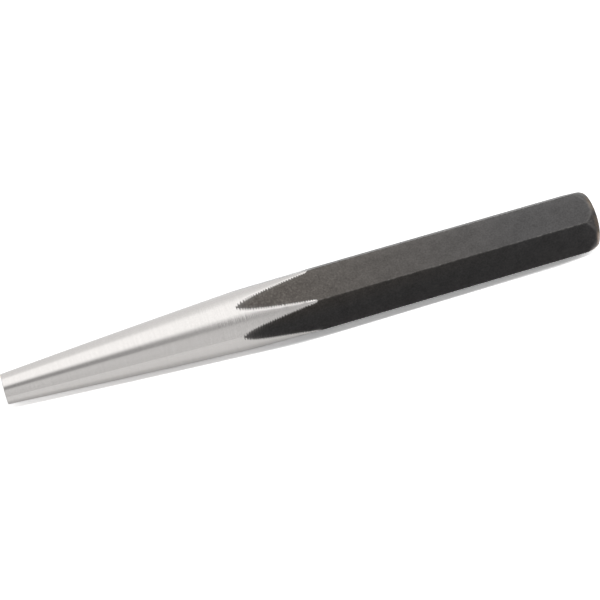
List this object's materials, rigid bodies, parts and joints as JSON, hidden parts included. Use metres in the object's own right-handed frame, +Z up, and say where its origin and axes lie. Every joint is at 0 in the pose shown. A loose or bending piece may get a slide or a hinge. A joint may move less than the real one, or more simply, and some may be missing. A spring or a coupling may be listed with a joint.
{
  "type": "solid taper punch",
  "caption": "Black hexagonal steel bar with a bright ground taper to a flat round point and a chamfered struck end, for starting pins and driving them out with a hammer.",
  "frame": {"origin": "middle of the punch's length, on the surface that it lies on", "axes": "+X along the bar from the point to the struck face, +Z up from the flat that it lies on"},
  "size_m": [0.127, 0.0144, 0.0126],
  "materials": {
    "tool_steel": "black oxide on the bar and head, taper ground bright"
  },
  "bodies": {
    "root": {"punch": "tool_steel"}
  },
  "joints": []
}
